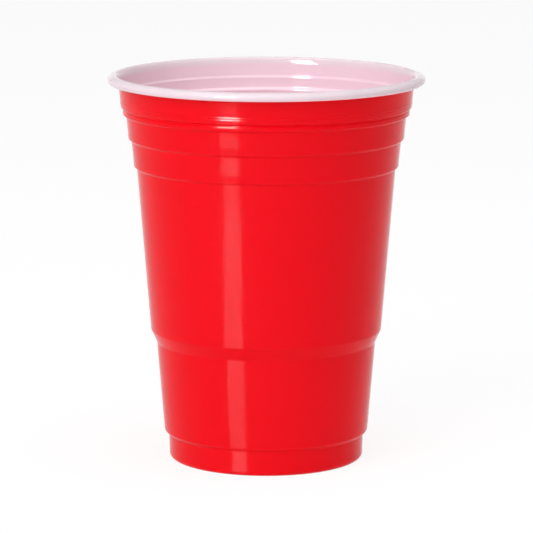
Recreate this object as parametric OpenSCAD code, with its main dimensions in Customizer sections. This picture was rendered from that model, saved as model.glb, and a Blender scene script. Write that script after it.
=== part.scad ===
// Disposable party cup of 473 ml, formed from one thin sheet.
// It has a raised base inside a standing ring, a foot set in under a shoulder,
// a tapered body with a bevelled step, three bands with a snap bead under the
// highest, and a rim that is rolled outwards and down.
// The cup stands on z = 0 with its axis on Z. Sizes are in millimetres.

/* [Overall] */
// Height from the table to the top of the rim
total_h = 117.6; // [108:0.1:128]
// Outer diameter of the rolled rim
rim_d = 96; // [91:0.5:102]
// Outer diameter of the foot at the table
foot_d = 59; // [54:0.5:64]

/* [Wall] */
// Thickness of the sheet in the base, foot, body and bands
wall_t = 0.42; // [0.36:0.01:0.5]
// Thickness of the stretched sheet in the lip and the rolled rim
lip_t = 0.28; // [0.2:0.01:0.34]
// Lean of the bands' walls from upright, in degrees
band_lean = 5.6; // [3.5:0.1:7.5]

/* [Base and foot] */
// Height of the base panel's underside above the table
base_lift = 2.3; // [1.2:0.1:4]
// Width of the standing ring, from the riser of the base to the foot's outside
ring_w = 4.2; // [3.2:0.1:6]
// Lean of the riser between the ring and the base panel, in degrees
riser_lean = 24; // [10:1:40]
// Rounding at the top and bottom of the riser
riser_round = 0.9; // [0.6:0.1:1.3]
// Height of the foot, up to the underside of the shoulder
foot_h = 7.7; // [5.5:0.1:10]
// Lean of the foot's wall, in degrees
foot_lean = 1.4; // [0:0.1:3]
// Rounding of the foot's lower edge
foot_round = 1.45; // [0.9:0.05:1.9]

/* [Shoulder] */
// How far the shoulder stands out past the foot
shoulder_out = 1.35; // [0.9:0.05:2]
// Height that the underside of the shoulder gains as it goes out
shoulder_rise = 0.7; // [0.2:0.05:1.2]
// Rounding of the shoulder's edge
shoulder_round = 1.3; // [0.7:0.05:1.6]

/* [Bevelled step] */
// Height of the bevel's lower edge above the table
bevel_z = 36; // [28:0.5:44]
// Height of the bevel
bevel_h = 3.9; // [2.5:0.1:6]
// How far the bevel carries the wall outwards
bevel_out = 1.76; // [1:0.02:2.4]
// Rounding of both of the bevel's edges
bevel_round = 1.2; // [0.6:0.1:2]

/* [Bands] */
// Height of the lowest band
low_band_h = 8; // [5:0.1:12]
// Height of the middle band, up to the bead
mid_band_h = 7.1; // [5:0.1:11]
// Height of the highest band, from its lower edge to the top of the rim
top_band_h = 9.7; // [8.8:0.1:12]
// How far each of the two lower bands stands out past the wall under it
step_out = 0.84; // [0.6:0.02:1.2]
// Height that the underside of each lower band gains as it goes out
step_rise = 0.42; // [0.2:0.02:0.7]
// Rounding of each band's lower edge
step_round = 0.84; // [0.6:0.02:1]
// How far the highest band stands out past the middle one
top_out = 1.58; // [1.3:0.02:1.9]

/* [Snap bead] */
// Height of the bead, up to the deepest line of the notch
bead_h = 1.7; // [1.5:0.1:2.2]
// How far the bead stands out past the middle band
bead_out = 1.02; // [0.8:0.02:1.2]
// Rounding of the bead and of the highest band's lower edge
bead_round = 0.55; // [0.45:0.05:0.6]
// Depth of the notch above the bead, measured from the bead's face
notch_in = 0.45; // [0.3:0.05:0.55]
// Height of the bead's sloping top, up to the deepest line of the notch
bead_slope_h = 0.7; // [0.5:0.05:0.8]
// Height from the notch's deepest line to the highest band's lower edge
notch_h = 0.8; // [0.6:0.05:1.1]

/* [Rolled rim] */
// Height of the roll, from its underside to its top
curl_h = 2.9; // [2.4:0.1:3.6]
// How far the roll reaches outwards from its top line
curl_over = 2.35; // [1.9:0.05:2.8]
// Distance from the wall's outside to the roll's top line
lip_in = 1.1; // [0.9:0.05:1.4]
// Height of the rounded lip inside the roll
lip_h = 3; // [2.2:0.1:3.6]
// Gap between the rolled edge and the wall
curl_gap = 0.4; // [0.2:0.05:0.7]

/* [Lip ring] */
// Depth of the inner ring's crest below the top of the rim
lip_ring_z = 6.3; // [5.4:0.1:6.6]
// How far the crest stands in from the inner face of the lip
lip_ring_in = 0.34; // [0.2:0.02:0.44]
// Height of the slope above the crest
lip_ring_h = 0.7; // [0.5:0.1:1]
// Height above the highest band's lower edge at which the ring has faded into the wall
lip_ring_end = 0.8; // [0.5:0.1:1.2]

/* [Hidden] */
$fn = 96;
cup_red = [0.93, 0.07, 0.11];

// Largest angle between two points of an arc
arc_step = 12;
// Rounding of the creases under the shoulder, the bands and the bead
crease_round = 0.5;
// Least rounding of the inner face, which is softer than the outer one
soft_round = 0.35;
// The bead's underside gains this share of its reach in height
bead_slope = 0.3;
// Rounding of the lip ring's crest and of the corner above it
lip_ring_round = 0.5;
// Rounding where the lip ring fades into the wall, which bends only a little
fade_round = 3;
// An arc takes up at most this share of the sides beside it, so two never meet
side_share = 0.49;

// Heights of the outline's corners, counted down from the rim
lip_z = total_h - lip_h;
top_z = total_h - top_band_h;
notch_z = top_z - notch_h;
bead_z = notch_z - bead_h;
mid_z = bead_z - mid_band_h;
low_top_z = mid_z - step_rise;
low_z = low_top_z - low_band_h;
body_top_z = low_z - step_rise;

// Heights counted up from the table
shoulder_z = foot_h + shoulder_rise;
bevel_top_z = bevel_z + bevel_h;

// Radii of the outline's corners, counted in from the rim
crest_r = rim_d / 2 - curl_over;
wall_r = crest_r - lip_in;
band_slope = tan(band_lean);
top_r = wall_r - band_slope * (lip_z - top_z);
mid_top_r = top_r - top_out;
mid_r = mid_top_r - band_slope * mid_band_h;
low_top_r = mid_r - step_out;
low_r = low_top_r - band_slope * low_band_h;
body_top_r = low_r - step_out;
bead_r = mid_top_r + bead_out;

// Radii counted out from the foot
foot_r = foot_d / 2;
foot_top_r = foot_r + foot_h * tan(foot_lean);
shoulder_r = foot_top_r + shoulder_out;
riser_r = foot_r - ring_w;
panel_r = riser_r - base_lift * tan(riser_lean);

// The body's wall has one slope, which joins the shoulder to the lowest band
body_slope = (body_top_r - shoulder_r - bevel_out) / (body_top_z - shoulder_z - bevel_h);
bevel_r = shoulder_r + body_slope * (bevel_z - shoulder_z);

// The outer face as [radius, height, rounding], from the axis to the lip
outer_corners = [
    [0, base_lift, 0],
    [panel_r, base_lift, riser_round],
    [riser_r, 0, riser_round],
    [foot_r, 0, foot_round],
    [foot_top_r, foot_h, crease_round],
    [shoulder_r, shoulder_z, shoulder_round],
    [bevel_r, bevel_z, bevel_round],
    [bevel_r + bevel_out, bevel_top_z, bevel_round],
    [body_top_r, body_top_z, crease_round],
    [low_r, low_z, step_round],
    [low_top_r, low_top_z, crease_round],
    [mid_r, mid_z, step_round],
    [mid_top_r, bead_z, crease_round],
    [bead_r, bead_z + bead_slope * bead_out, bead_round],
    [bead_r, notch_z - bead_slope_h, bead_round],
    [bead_r - notch_in, notch_z, crease_round],
    [top_r, top_z, bead_round],
    [wall_r, lip_z, 0]
];

function corner_point(corner) = [corner[0], corner[1]];
function unit(v) = v / norm(v);
function left_of(v) = [-v[1], v[0]];
function cross_z(a, b) = a[0] * b[1] - a[1] * b[0];

// Arc that rounds corner b, never longer than the sides beside it allow
function rounded(a, b, c, radius) =
    let (
        back = unit(a - b),
        ahead = unit(c - b),
        half = acos(max(-1, min(1, back * ahead))) / 2,
        side = side_share * min(norm(a - b), norm(c - b)),
        reach = min(radius / tan(half), side),
        centre = b + unit(back + ahead) * reach / cos(half),
        from = b + back * reach - centre,
        to = b + ahead * reach - centre,
        turn = atan2(cross_z(from, to), from * to),
        steps = max(2, ceil(abs(turn) / arc_step))
    )
    [for (i = [0:steps])
        let (angle = turn * i / steps)
        centre + [from[0] * cos(angle) - from[1] * sin(angle),
                  from[0] * sin(angle) + from[1] * cos(angle)]];

// Outline through the corners, with every inner one rounded
function smooth_path(corners) =
    let (last = len(corners) - 1)
    [for (i = [0:last])
        let (here = corner_point(corners[i]))
        each (i == 0 || i == last || corners[i][2] <= 0
            ? [here]
            : rounded(corner_point(corners[i - 1]), here, corner_point(corners[i + 1]), corners[i][2]))];

// Corner of the inner face, one sheet thickness to the left of the outer one
function inner_corner(i) =
    let (
        here = corner_point(outer_corners[i]),
        arriving = unit(here - corner_point(outer_corners[i - 1])),
        leaving = unit(corner_point(outer_corners[i + 1]) - here),
        normal = left_of(arriving) + left_of(leaving),
        moved = here + normal * wall_t / (1 + arriving * leaving),
        bend = cross_z(arriving, leaving) > 0 ? -wall_t : wall_t
    )
    [moved[0], moved[1], max(soft_round, outer_corners[i][2] + bend)];

// Radius of the inner face of the highest band at a height, for a thickness
function band_inner_r(z, t) = wall_r - band_slope * (lip_z - z) - t / cos(band_lean);

lip_ring_crest = total_h - lip_ring_z;
lip_ring_low = top_z + lip_ring_end;
lip_ring_high = lip_ring_crest + lip_ring_h;

// The inner face, from the axis to the start of the rounded lip
inner_corners = concat(
    [[0, base_lift + wall_t, 0]],
    [for (i = [1:len(outer_corners) - 2]) inner_corner(i)],
    [[band_inner_r(lip_ring_low, wall_t), lip_ring_low, fade_round],
     [band_inner_r(lip_ring_crest, lip_t + lip_ring_in), lip_ring_crest, lip_ring_round],
     [band_inner_r(lip_ring_high, lip_t), lip_ring_high, lip_ring_round],
     [band_inner_r(lip_z, lip_t), lip_z, 0]]
);

// Oval arc with half axes a and b, from one angle to another
function oval(centre, a, b, from, to) =
    let (steps = ceil(abs(to - from) / arc_step))
    [for (i = [0:steps])
        let (angle = from + (to - from) * i / steps)
        centre + [a * cos(angle), b * sin(angle)]];

// Quarter oval that leaves the leaning wall smoothly and ends level at the top line
function lip_curve(reach, rise) =
    let (
        a = sqrt(reach * reach - pow(band_slope * rise, 2)),
        start = atan(band_slope * rise / a)
    )
    oval([crest_r, lip_z], a, rise, 180 - start, 90);

// Roll from the top line outwards, down and back in towards the wall
curl_centre = [crest_r, total_h - curl_h / 2];
curl_tuck = asin((lip_in - curl_gap) / curl_over);
function curl_curve(inset) =
    oval(curl_centre, curl_over - inset, curl_h / 2 - inset, 90, -90 - curl_tuck);

function reversed(points) = [for (i = [len(points) - 1:-1:0]) points[i]];
function without_last(points) = [for (i = [0:len(points) - 2]) points[i]];
function without_first(points) = [for (i = [1:len(points) - 1]) points[i]];

outer_face = concat(
    without_last(smooth_path(outer_corners)),
    lip_curve(lip_in, lip_h - lip_t),
    without_first(curl_curve(lip_t))
);
inner_face = concat(
    without_last(smooth_path(inner_corners)),
    lip_curve(lip_in + lip_t / cos(band_lean), lip_h),
    without_first(curl_curve(0))
);

// The whole cup is one sheet, so it is one outline turned about the axis
module cup() {
    color(cup_red)
        rotate_extrude()
            polygon(concat(outer_face, reversed(inner_face)));
}

cup();
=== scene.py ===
# A disposable party cup, red outside and white inside, standing on a white table in soft light
import bpy
import math
from mathutils import Euler, Matrix, Vector


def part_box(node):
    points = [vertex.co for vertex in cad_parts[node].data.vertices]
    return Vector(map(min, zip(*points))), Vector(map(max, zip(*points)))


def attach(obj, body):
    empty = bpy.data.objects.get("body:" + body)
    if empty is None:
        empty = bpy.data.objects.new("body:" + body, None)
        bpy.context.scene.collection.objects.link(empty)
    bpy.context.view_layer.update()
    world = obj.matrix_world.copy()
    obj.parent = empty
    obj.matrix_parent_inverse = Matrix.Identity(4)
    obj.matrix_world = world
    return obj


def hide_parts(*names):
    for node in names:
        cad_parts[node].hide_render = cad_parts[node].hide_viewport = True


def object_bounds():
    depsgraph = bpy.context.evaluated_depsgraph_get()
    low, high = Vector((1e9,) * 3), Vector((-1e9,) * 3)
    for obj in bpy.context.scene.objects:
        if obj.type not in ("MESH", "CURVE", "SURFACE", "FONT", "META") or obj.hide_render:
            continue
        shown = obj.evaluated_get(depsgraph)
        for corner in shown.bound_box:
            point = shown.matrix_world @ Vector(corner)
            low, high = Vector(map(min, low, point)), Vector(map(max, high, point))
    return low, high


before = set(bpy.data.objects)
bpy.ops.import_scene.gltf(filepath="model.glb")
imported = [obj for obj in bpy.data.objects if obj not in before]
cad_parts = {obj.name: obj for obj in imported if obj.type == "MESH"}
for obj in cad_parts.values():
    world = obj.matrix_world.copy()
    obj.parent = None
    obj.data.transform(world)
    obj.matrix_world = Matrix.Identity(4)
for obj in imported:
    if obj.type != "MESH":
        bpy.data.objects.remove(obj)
cadLow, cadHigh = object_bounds()
scene = bpy.context.scene
scene.view_settings.view_transform = "Standard"
mm = 0.001


# one socket of a node tree; arithmetic on it adds Math nodes
class Wire:
    def __init__(self, nodes, socket):
        self.nodes = nodes
        self.socket = socket

    def math(self, operation, first, second=0.0):
        return self.nodes.add("ShaderNodeMath", {"operation": operation}, {0: first, 1: second})

    def __add__(self, other):
        return self.math("ADD", self, other)

    def __radd__(self, other):
        return self.math("ADD", other, self)

    def __sub__(self, other):
        return self.math("SUBTRACT", self, other)

    def __rsub__(self, other):
        return self.math("SUBTRACT", other, self)

    def __mul__(self, other):
        return self.math("MULTIPLY", self, other)

    def __rmul__(self, other):
        return self.math("MULTIPLY", other, self)

    def __truediv__(self, other):
        return self.math("DIVIDE", self, other)

    def __rtruediv__(self, other):
        return self.math("DIVIDE", other, self)

    def run(self, operation):
        return self.math(operation, self)

    def also(self, output):                      # another output of the same node
        return Wire(self.nodes, self.socket.node.outputs[output])


# a node tree written as calls: every node that isn't arithmetic comes from add()
class NodeWriter:
    def __init__(self, tree):
        self.tree = tree
        tree.nodes.clear()

    def add(self, kind, settings=None, inputs=None, output=0):
        node = self.tree.nodes.new(kind)
        for name, value in (settings or {}).items():
            setattr(node, name, value)
        for name, value in (inputs or {}).items():
            if isinstance(value, Wire):
                self.tree.links.new(value.socket, node.inputs[name])
            else:
                node.inputs[name].default_value = value
        return Wire(self, node.outputs[output] if node.outputs else None)

    def noise(self, place, scale, detail):
        return self.add("ShaderNodeTexNoise", None, {"Vector": place, "Scale": scale, "Detail": detail})

    # inputs 6 and 7 and output 2 are a Mix node's two colours and its result
    def mixed(self, share, first, second):
        return self.add("ShaderNodeMix", {"data_type": "RGBA"}, {0: share, 6: first, 7: second}, 2)


def newMaterial(name):
    material = bpy.data.materials.new(name)
    material.use_nodes = True
    return material, NodeWriter(material.node_tree)


# the camera, at the photograph's viewing angle
camera = {
    "distance": 1.05723,      # metres from the cup's axis, along the table
    "height": 0.24446,
    "aside": 0.00011,
    "pitch": 9.9665,          # degrees below the horizon
    "roll": 0.05,
    "focalPixels": 3528,      # focal length in pixels of the photograph's frame
    "framePixels": 533,
    "sensorWidth": 36,        # millimetres
}


def addCamera():
    data = bpy.data.cameras.new("camera")
    data.sensor_width = camera["sensorWidth"]
    data.lens = data.sensor_width * camera["focalPixels"] / camera["framePixels"]
    eye = bpy.data.objects.new("camera", data)
    scene.collection.objects.link(eye)
    eye.location = (camera["aside"], -camera["distance"], camera["height"])
    tilt = Euler((math.radians(90 - camera["pitch"]), 0, 0)).to_matrix()
    eye.rotation_euler = (tilt @ Matrix.Rotation(math.radians(camera["roll"]), 3, "Z")).to_euler()
    scene.camera = eye


addCamera()
print("camera placed")


# the sheet that the cup is formed from, in millimetres and degrees
cup = {
    "wall": 0.42,             # thickness of the sheet
    "lip": 0.28,              # thickness in the lip and the roll
    "baseLift": 2.3,          # height of the base's raised panel
    "ringWidth": 4.2,         # flat ring that the cup stands on
    "riserLean": 24,
    "riserRound": 0.9,
    "footDiameter": 59,
    "footHeight": 7.7,
    "footLean": 1.4,
    "footRound": 1.45,
    "shoulderOut": 1.35,
    "shoulderRise": 0.7,
    "shoulderRound": 1.3,
    "bevelAt": 36,            # height of the bevel's lower edge
    "bevelHeight": 3.9,
    "bevelOut": 1.76,
    "bevelRound": 1.2,
    "bandLean": 5.6,
    "lowBand": 8,
    "midBand": 7.1,
    "topBand": 9.7,           # from its lower edge to the rim's top line
    "topOut": 1.58,
    "stepOut": 0.84,          # how far each lower band stands out over what is below it
    "stepRise": 0.42,
    "stepRound": 0.84,
    "flareHeight": 2.4,       # each lower band's wall stands steeper over this height above its edge
    "flareLean": 3.4,
    "flareRound": 8,
    "bead": 2.0,
    "beadOut": 1.02,
    "beadRound": 0.4,
    "beadSlope": 0.3,         # rise of the bead's underside for each millimetre outwards
    "beadSlopeHeight": 0.5,   # height of the slope on top of the bead
    "beadTopRound": 1.5,
    "notch": 0.5,
    "notchIn": 0.45,
    "fineRings": (1.1, 1.85), # heights of two fine rings above the highest band's lower edge
    "fineRingOut": 0.09,
    "fineRingAbove": 0.2,     # height of each fine ring's slope above its crest
    "fineRingBelow": 0.35,
    "fineRingRound": 0.12,
    "lipIn": 1.1,             # from the wall's outer face to the rim's top line
    "lipHeight": 3,
    "rollHeight": 2.9,
    "rollOver": 2.35,         # from the rim's top line to its outermost point
    "rollGap": 0.4,           # between the roll's end and the wall
    "redUnderRoll": 10,       # points under the roll, from its end, where the red layer shows
    "lipRingAt": 6.3,         # depth of the inner ring's crest below the rim
    "lipRingIn": 0.34,
    "lipRing": 0.7,
    "lipRingEnd": 0.8,        # height above the highest band's lower edge where the ring has faded
    "lipRingRound": 0.5,
    "fadeRound": 3,
    "creaseRound": 0.5,
    "softRound": 0.35,        # least rounding of the inner face
    "arcStep": 6,             # degrees between points of the lip and the roll
    "stepsRound": 216,        # faces round the cup
    "roundingPoints": 7,      # points of each rounded corner
    "weld": 0.001,            # points nearer than this become one
    "faceWeight": 100,        # how strongly large faces lead the shading
}


# points of an oval arc between two angles
def oval(centre, across, up, start, end):
    steps = math.ceil(abs(end - start) / cup["arcStep"])
    angles = [math.radians(start + (end - start) * i / steps) for i in range(steps + 1)]
    return [(centre[0] + across * math.cos(a), centre[1] + up * math.sin(a), 0) for a in angles]


# corners of the outer face as (radius, height, rounding), from the axis to the foot of the lip
def outerCorners(rimRadius, totalHeight):
    c = cup
    slope = math.tan(math.radians(c["bandLean"]))
    lipZ = totalHeight - c["lipHeight"]
    topZ = totalHeight - c["topBand"]
    notchZ = topZ - c["notch"]
    beadZ = notchZ - c["bead"]
    midZ = beadZ - c["midBand"]
    lowTopZ = midZ - c["stepRise"]
    lowZ = lowTopZ - c["lowBand"]
    bodyTopZ = lowZ - c["stepRise"]
    wallR = rimRadius - c["rollOver"] - c["lipIn"]
    topR = wallR - slope * (lipZ - topZ)
    midTopR = topR - c["topOut"]
    midR = midTopR - slope * c["midBand"]
    lowTopR = midR - c["stepOut"]
    lowR = lowTopR - slope * c["lowBand"]
    bodyTopR = lowR - c["stepOut"]
    beadR = midTopR + c["beadOut"]
    footR = c["footDiameter"] / 2
    footTopR = footR + c["footHeight"] * math.tan(math.radians(c["footLean"]))
    shoulderR = footTopR + c["shoulderOut"]
    shoulderZ = c["footHeight"] + c["shoulderRise"]
    riserR = footR - c["ringWidth"]
    panelR = riserR - c["baseLift"] * math.tan(math.radians(c["riserLean"]))
    bevelTopZ = c["bevelAt"] + c["bevelHeight"]
    bodySlope = (bodyTopR - shoulderR - c["bevelOut"]) / (bodyTopZ - shoulderZ - c["bevelHeight"])
    bevelR = shoulderR + bodySlope * (c["bevelAt"] - shoulderZ)
    flareOut = (slope - math.tan(math.radians(c["flareLean"]))) * c["flareHeight"]
    return [
        (0, c["baseLift"], 0),
        (panelR, c["baseLift"], c["riserRound"]),
        (riserR, 0, c["riserRound"]),
        (footR, 0, c["footRound"]),
        (footTopR, c["footHeight"], c["creaseRound"]),
        (shoulderR, shoulderZ, c["shoulderRound"]),
        (bevelR, c["bevelAt"], c["bevelRound"]),
        (bevelR + c["bevelOut"], bevelTopZ, c["bevelRound"]),
        (bodyTopR, bodyTopZ, c["creaseRound"]),
        (lowR + flareOut, lowZ, c["stepRound"]),
        (lowR + slope * c["flareHeight"], lowZ + c["flareHeight"], c["flareRound"]),
        (lowTopR, lowTopZ, c["creaseRound"]),
        (midR + flareOut, midZ, c["stepRound"]),
        (midR + slope * c["flareHeight"], midZ + c["flareHeight"], c["flareRound"]),
        (midTopR, beadZ, c["creaseRound"]),
        (beadR, beadZ + c["beadSlope"] * c["beadOut"], c["beadRound"]),
        (beadR, notchZ - c["beadSlopeHeight"], c["beadTopRound"]),
        (beadR - c["notchIn"], notchZ, c["creaseRound"]),
        (topR, topZ, c["beadRound"]),
        (wallR, lipZ, 0),
    ]


# the inner face lies one sheet thickness inside the outer one
def innerCorners(outer, totalHeight):
    c = cup
    found = [(0, c["baseLift"] + c["wall"], 0)]
    for before, here, after in zip(outer, outer[1:], outer[2:]):
        arriving = (Vector(here[:2]) - Vector(before[:2])).normalized()
        leaving = (Vector(after[:2]) - Vector(here[:2])).normalized()
        normal = Vector((-arriving.y - leaving.y, arriving.x + leaving.x))
        moved = Vector(here[:2]) + normal * c["wall"] / (1 + arriving.dot(leaving))
        turnsLeft = arriving.x * leaving.y - arriving.y * leaving.x > 0
        rounding = here[2] - c["wall"] if turnsLeft else here[2] + c["wall"]
        found.append((moved.x, moved.y, max(c["softRound"], rounding)))
    lean = math.radians(c["bandLean"])
    crestZ = totalHeight - c["lipRingAt"]
    for z, thickness, rounding in (
        (outer[-2][1] + c["lipRingEnd"], c["wall"], c["fadeRound"]),
        (crestZ, c["lip"] + c["lipRingIn"], c["lipRingRound"]),
        (crestZ + c["lipRing"], c["lip"], c["lipRingRound"]),
    ):
        found.append((bandRadius(outer, z) - thickness / math.cos(lean), z, rounding))
    return found


# radius of the highest band's outer face at a height
def bandRadius(outer, z):
    wallR, lipZ = outer[-1][:2]
    return wallR - math.tan(math.radians(cup["bandLean"])) * (lipZ - z)


# two fine rings just above the highest band's lower edge
def fineRings(outer):
    c = cup
    topZ = outer[-2][1]
    found = []
    for height in c["fineRings"]:
        for z, out in ((-c["fineRingBelow"], 0), (0, c["fineRingOut"]), (c["fineRingAbove"], 0)):
            z += topZ + height
            found.append((bandRadius(outer, z) + out, z, c["fineRingRound"]))
    return found


# quarter oval from the leaning wall to the rim's top line, then the roll outwards and down
def lipAndRoll(rimRadius, totalHeight, inset):
    c = cup
    slope = math.tan(math.radians(c["bandLean"]))
    rise = c["lipHeight"] - inset
    reach = c["lipIn"] + (c["lip"] - inset) / math.cos(math.radians(c["bandLean"]))
    across = math.sqrt(reach ** 2 - (slope * rise) ** 2)
    start = math.degrees(math.atan(slope * rise / across))
    crestR = rimRadius - c["rollOver"]
    tuck = math.degrees(math.asin((c["lipIn"] - c["rollGap"]) / c["rollOver"]))
    lip = oval((crestR, totalHeight - c["lipHeight"]), across, rise, 180 - start, 90)
    middle = (crestR, totalHeight - c["rollHeight"] / 2)
    return lip + oval(middle, c["rollOver"] - inset, c["rollHeight"] / 2 - inset, 90, -90 - tuck)[1:]


# the whole section as a chain of points: the red side outwards, then the white side back to the axis
def sectionLine():
    low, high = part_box("cup")
    rimRadius, totalHeight = high.x / mm, high.z / mm
    outer = outerCorners(rimRadius, totalHeight)
    inner = innerCorners(outer, totalHeight)
    redSide = outer[:-1] + fineRings(outer) + lipAndRoll(rimRadius, totalHeight, cup["lip"])
    whiteSide = inner + lipAndRoll(rimRadius, totalHeight, 0)
    points = redSide + whiteSide[::-1]
    mesh = bpy.data.meshes.new("section")
    mesh.from_pydata([(r * mm, 0, z * mm) for r, z, rounding in points],
                     [(i, i + 1) for i in range(len(points) - 1)], [])
    rounding = mesh.attributes.new("rounding", "FLOAT", "POINT")
    rounding.data.foreach_set("value", [p[2] * mm for p in points])
    white = mesh.attributes.new("white", "FLOAT", "POINT")
    redPoints = len(redSide) + cup["redUnderRoll"]
    white.data.foreach_set("value", [0.0] * redPoints + [1.0] * (len(points) - redPoints))
    return mesh


# turns a section about Z, with its corners rounded and its two sides in their own plastics
def latheTree():
    tree = bpy.data.node_groups.new("cupLathe", "GeometryNodeTree")
    sockets = (("Section", "Geometry"), ("Steps round", "Int"), ("Rounding points", "Int"),
               ("Weld distance", "Float"), ("Outside", "Material"), ("Inside", "Material"))
    for name, kind in sockets:
        tree.interface.new_socket(name, in_out="INPUT", socket_type="NodeSocket" + kind)
    tree.interface.new_socket("Cup", in_out="OUTPUT", socket_type="NodeSocketGeometry")
    w = NodeWriter(tree)
    given = w.add("NodeGroupInput")
    line = w.add("GeometryNodeMeshToCurve", None, {"Mesh": given.also("Section")})
    rounding = w.add("GeometryNodeInputNamedAttribute", {"data_type": "FLOAT"}, {"Name": "rounding"})
    line = w.add("GeometryNodeFilletCurve", {"mode": "POLY"}, {
        "Curve": line, "Count": given.also("Rounding points"), "Radius": rounding, "Limit Radius": True})
    rows = w.add("GeometryNodeAttributeDomainSize", {"component": "CURVE"}, {"Geometry": line})
    columns = given.also("Steps round") + 1
    grid = w.add("GeometryNodeMeshGrid", None, {"Vertices X": rows, "Vertices Y": columns})
    index = w.add("GeometryNodeInputIndex")
    row = (index / columns).run("FLOOR")
    angle = (index - row * columns) / given.also("Steps round") * (-2 * math.pi)
    place = w.add("GeometryNodeSampleIndex", {"data_type": "FLOAT_VECTOR"}, {
        "Geometry": line, "Value": w.add("GeometryNodeInputPosition"), "Index": row})
    place = w.add("ShaderNodeSeparateXYZ", None, {0: place})
    turned = w.add("ShaderNodeCombineXYZ", None, {
        "X": place * angle.run("COSINE"), "Y": place * angle.run("SINE"), "Z": place.also("Z")})
    white = w.add("GeometryNodeInputNamedAttribute", {"data_type": "FLOAT"}, {"Name": "white"})
    white = w.add("GeometryNodeSampleIndex", {"data_type": "FLOAT"}, {
        "Geometry": line, "Value": white, "Index": row})
    solid = w.add("GeometryNodeStoreNamedAttribute", {"data_type": "FLOAT", "domain": "POINT"}, {
        "Geometry": grid, "Name": "whiteSide", "Value": white})
    solid = w.add("GeometryNodeSetPosition", None, {"Geometry": solid, "Position": turned})
    solid = w.add("GeometryNodeMergeByDistance", None, {
        "Geometry": solid, "Distance": given.also("Weld distance")})
    solid = w.add("GeometryNodeSetShadeSmooth", None, {"Geometry": solid, "Shade Smooth": True})
    solid = w.add("GeometryNodeRealizeInstances", None, {"Geometry": solid})
    solid = w.add("GeometryNodeSetMaterial", None, {"Geometry": solid, "Material": given.also("Outside")})
    whiteSide = w.add("GeometryNodeInputNamedAttribute", {"data_type": "FLOAT"}, {"Name": "whiteSide"})
    isWhite = whiteSide.math("GREATER_THAN", whiteSide, 0.5)
    solid = w.add("GeometryNodeSetMaterial", None, {
        "Geometry": solid, "Material": given.also("Inside"), "Selection": isWhite})
    w.add("NodeGroupOutput", None, {"Cup": solid})
    return tree


redPlastic = {
    "colour": (0.94, 0.0016, 0.0100, 1),
    "deepColour": (0.91, 0.0010, 0.0085, 1),
    "roughness": 0.13,
    "roughnessSpread": 0.04,
    "specular": 0.09,
    "translucence": 0.2,      # share of the light that travels inside the plastic
    "travel": 1.0,            # how far it goes, in millimetres
    "travelOfEachColour": (1, 0.15, 0.1),
    "cloudScale": 28,         # of a noise, per metre
    "cloudDetail": 3,         # octaves of a noise
    "grainScale": 1100,
    "grainDetail": 2,
    "grainDepth": 0.004,      # millimetres
    "waveScale": 60,
    "waveDetail": 1,
    "waveDepth": 0.03,
}


def makeRedPlastic():
    p = redPlastic
    material, w = newMaterial("red_plastic")
    place = w.add("ShaderNodeTexCoord", None, None, "Object")
    clouds = w.noise(place, p["cloudScale"], p["cloudDetail"])
    grain = w.noise(place, p["grainScale"], p["grainDetail"])
    waves = w.noise(place, p["waveScale"], p["waveDetail"])
    colour = w.mixed(clouds, p["deepColour"], p["colour"])
    height = grain * (p["grainDepth"] * mm) + waves * (p["waveDepth"] * mm)
    normal = w.add("ShaderNodeBump", None, {"Strength": 1.0, "Distance": 1.0, "Height": height})
    surface = w.add("ShaderNodeBsdfPrincipled", None, {
        "Base Color": colour,
        "Roughness": p["roughness"] + (clouds - 0.5) * p["roughnessSpread"],
        "Specular IOR Level": p["specular"],
        "Subsurface Weight": p["translucence"],
        "Subsurface Scale": p["travel"] * mm,
        "Subsurface Radius": p["travelOfEachColour"],
        "Normal": normal})
    w.add("ShaderNodeOutputMaterial", None, {"Surface": surface})
    return material


whitePlastic = {
    "colour": (0.99, 0.755, 0.83, 1),
    "deepColour": (0.97, 0.71, 0.80, 1),
    # the rim is less pink, as less of the red layer shows through the roll, and darker, which is painted
    # shade set against the stronger light on the rim; the pinker wall below is partly painted red light
    # coming through the red layer
    "rimColourWithPaintedShade": (0.88, 0.745, 0.80, 1),
    "rimBlendFrom": 114.6,    # heights in millimetres between which the wall's colour turns to the rim's
    "rimBlendTo": 116.8,
    "roughness": 0.08,
    "roughnessSpread": 0.03,
    "specular": 0.18,
    "cloudScale": 40,
    "cloudDetail": 3,
    "grainScale": 1100,
    "grainDetail": 2,
    "grainDepth": 0.004,
}


def makeWhitePlastic():
    p = whitePlastic
    material, w = newMaterial("white_plastic")
    place = w.add("ShaderNodeTexCoord", None, None, "Object")
    clouds = w.noise(place, p["cloudScale"], p["cloudDetail"])
    grain = w.noise(place, p["grainScale"], p["grainDetail"])
    colour = w.mixed(clouds, p["deepColour"], p["colour"])
    spot = w.add("ShaderNodeSeparateXYZ", None, {0: place})
    # painted light by height: the rim darker as painted shade, the wall below pinker as painted red light
    rim = w.add("ShaderNodeMapRange", {"interpolation_type": "SMOOTHSTEP"}, {
        "Value": spot.also("Z"), "From Min": p["rimBlendFrom"] * mm, "From Max": p["rimBlendTo"] * mm})
    colour = w.mixed(rim, colour, p["rimColourWithPaintedShade"])
    normal = w.add("ShaderNodeBump", None, {
        "Strength": 1.0, "Distance": 1.0, "Height": grain * (p["grainDepth"] * mm)})
    surface = w.add("ShaderNodeBsdfPrincipled", None, {
        "Base Color": colour,
        "Roughness": p["roughness"] + (clouds - 0.5) * p["roughnessSpread"],
        "Specular IOR Level": p["specular"],
        "Normal": normal})
    w.add("ShaderNodeOutputMaterial", None, {"Surface": surface})
    return material


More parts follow.
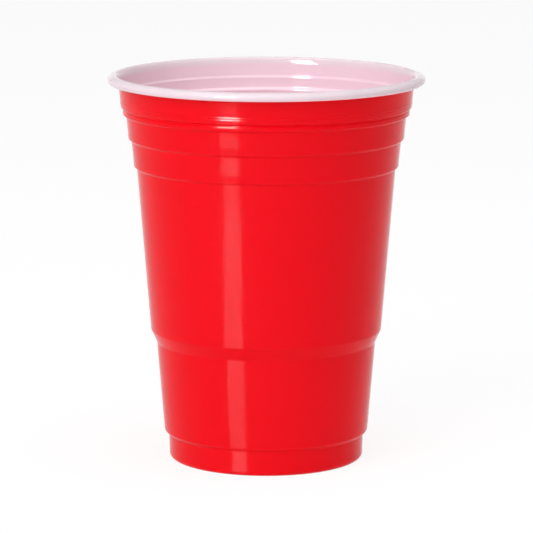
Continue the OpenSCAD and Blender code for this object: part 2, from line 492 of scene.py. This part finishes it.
def makeCup():
    red = makeRedPlastic()
    white = makeWhitePlastic()
    tree = latheTree()
    source = bpy.data.objects.new("cup_section", sectionLine())
    scene.collection.objects.link(source)
    lathe = source.modifiers.new("lathe", "NODES")
    lathe.node_group = tree
    values = {
        "Steps round": cup["stepsRound"],
        "Rounding points": cup["roundingPoints"],
        "Weld distance": cup["weld"] * mm,
        "Outside": red,
        "Inside": white,
    }
    for item in tree.interface.items_tree:
        if item.name in values:
            lathe[item.identifier] = values[item.name]
    evenNormals = source.modifiers.new("evenNormals", "WEIGHTED_NORMAL")
    evenNormals.weight = cup["faceWeight"]
    bpy.context.view_layer.update()
    evaluated = source.evaluated_get(bpy.context.evaluated_depsgraph_get())
    mesh = bpy.data.meshes.new_from_object(evaluated)
    mesh.name = "party_cup"
    piece = bpy.data.objects.new("party_cup", mesh)
    scene.collection.objects.link(piece)
    bpy.data.objects.remove(source)
    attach(piece, "root")
    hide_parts("cup")
    return piece


partyCup = makeCup()
print("cup turned:", len(partyCup.data.vertices), "points", len(partyCup.data.polygons), "faces")


# a white table, which keeps the cup's shadow
table = {
    "reach": 6,               # metres from the cup to each edge
    "drop": 0.00002,          # metres under the cup's foot, so that the two faces stay apart
    "shownPaint": 0.18,       # share of its white that the lamps light, as seen
    "shownGlow": 0.86,        # and the share that is always there
    "paint": 0.90,            # its white as it lights the cup
    "roughness": 0.05,        # of the polish that shows the lamps in the cup's gloss
    "polishIor": 1.36,
}


# 1 for the camera and for what gloss and glass show of the surroundings
def seenRays(w):
    path = w.add("ShaderNodeLightPath", None, None, "Is Camera Ray")
    glossy, through = path.also("Is Glossy Ray"), path.also("Is Transmission Ray")
    return path.math("MAXIMUM", path.math("MAXIMUM", path, glossy), through)


def makeTable():
    t = table
    material, w = newMaterial("table_white")
    shown = w.add("ShaderNodeAddShader", None, {
        0: w.add("ShaderNodeBsdfDiffuse", None, {"Color": (t["shownPaint"],) * 3 + (1,)}),
        1: w.add("ShaderNodeEmission", None, {"Color": (1, 1, 1, 1), "Strength": t["shownGlow"]})})
    lighting = w.add("ShaderNodeBsdfDiffuse", None, {"Color": (t["paint"],) * 3 + (1,)})
    polish = w.add("ShaderNodeBsdfGlossy", None, {"Color": (1, 1, 1, 1), "Roughness": t["roughness"]})
    plain = w.add("ShaderNodeMixShader", None, {0: seenRays(w), 1: lighting, 2: shown})
    glossy = w.add("ShaderNodeLightPath", None, None, "Is Glossy Ray")
    sheen = w.add("ShaderNodeFresnel", None, {"IOR": t["polishIor"]}) * glossy
    surface = w.add("ShaderNodeMixShader", None, {0: sheen, 1: plain, 2: polish})
    w.add("ShaderNodeOutputMaterial", None, {"Surface": surface})
    mesh = bpy.data.meshes.new("table")
    r, z = t["reach"], -t["drop"]
    mesh.from_pydata([(-r, -r, z), (r, -r, z), (r, r, z), (-r, r, z)], [], [(0, 1, 2, 3)])
    mesh.materials.append(material)
    top = bpy.data.objects.new("table", mesh)
    scene.collection.objects.link(top)


makeTable()
print("table laid")


# lamps by azimuth (0 at the camera, right is positive) and elevation, in degrees, metres and radiance;
# the two panels light the scene, and the rest only show in gloss
lamps = {
    "key_panel": {"azimuth": -31, "elevation": 30, "distance": 1.2, "width": 0.8, "height": 0.8,
                  "radiance": 3.3, "diffuse": True, "glossy": False},
    "top_panel": {"azimuth": 45, "elevation": 80, "distance": 1.2, "width": 0.8, "height": 0.8,
                  "radiance": 1.9, "diffuse": True, "glossy": False},
    "overhead": {"azimuth": -10, "elevation": 84, "distance": 1.0, "width": 1.0, "height": 1.0,
                 "radiance": 3, "diffuse": False, "glossy": True},
    "strip_high": {"azimuth": -31, "elevation": 30, "distance": 1.6, "width": 0.37, "height": 0.3,
                   "radiance": 250, "diffuse": False, "glossy": True},
    "strip_middle": {"azimuth": -32.4, "elevation": 17.7, "distance": 1.6, "width": 0.5, "height": 0.184,
                     "radiance": 54, "diffuse": False, "glossy": True},
    "strip_low": {"azimuth": -30.6, "elevation": 13.5, "distance": 1.6, "width": 0.43, "height": 0.05,
                  "radiance": 98, "diffuse": False, "glossy": True},
}
sky = {
    "lightStrength": 0.45,    # as it lights the cup and the table
    "shownStrength": 1.0,     # near the horizon, as the background and as gloss shows it
    "ceilingStrength": 0.6,   # higher up
    "ceilingFrom": 6,         # degrees above the horizon
    "ceilingTo": 14,
}


def addLamps():
    target = Vector((0, 0, cadHigh.z / 2))
    for name, lamp in lamps.items():
        data = bpy.data.lights.new(name, "AREA")
        data.shape = "RECTANGLE"
        data.size = lamp["width"]
        data.size_y = lamp["height"]
        data.energy = lamp["radiance"] * math.pi * lamp["width"] * lamp["height"]
        made = bpy.data.objects.new(name, data)
        scene.collection.objects.link(made)
        azimuth, elevation = math.radians(lamp["azimuth"]), math.radians(lamp["elevation"])
        away = Vector((math.sin(azimuth) * math.cos(elevation), -math.cos(azimuth) * math.cos(elevation),
                       math.sin(elevation)))
        made.location = target + away * lamp["distance"]
        made.rotation_euler = (-away).to_track_quat("-Z", "Y").to_euler()
        made.visible_camera = False
        made.visible_diffuse = lamp["diffuse"]
        made.visible_glossy = lamp["glossy"]
    world = bpy.data.worlds.new("sky")
    world.use_nodes = True
    scene.world = world
    w = NodeWriter(world.node_tree)
    light = w.add("ShaderNodeBackground", None, {"Color": (1, 1, 1, 1), "Strength": sky["lightStrength"]})
    direction = w.add("ShaderNodeTexCoord", None, None, "Generated")
    towards = w.add("ShaderNodeSeparateXYZ", None, {0: direction})
    strength = w.add("ShaderNodeMapRange", {"interpolation_type": "SMOOTHSTEP"}, {
        "Value": towards.also("Z"),
        "From Min": math.sin(math.radians(sky["ceilingFrom"])),
        "From Max": math.sin(math.radians(sky["ceilingTo"])),
        "To Min": sky["shownStrength"],
        "To Max": sky["ceilingStrength"]})
    shown = w.add("ShaderNodeBackground", None, {"Color": (1, 1, 1, 1), "Strength": strength})
    surface = w.add("ShaderNodeMixShader", None, {0: seenRays(w), 1: light, 2: shown})
    w.add("ShaderNodeOutputWorld", None, {"Surface": surface})


addLamps()
print("lamps lit")
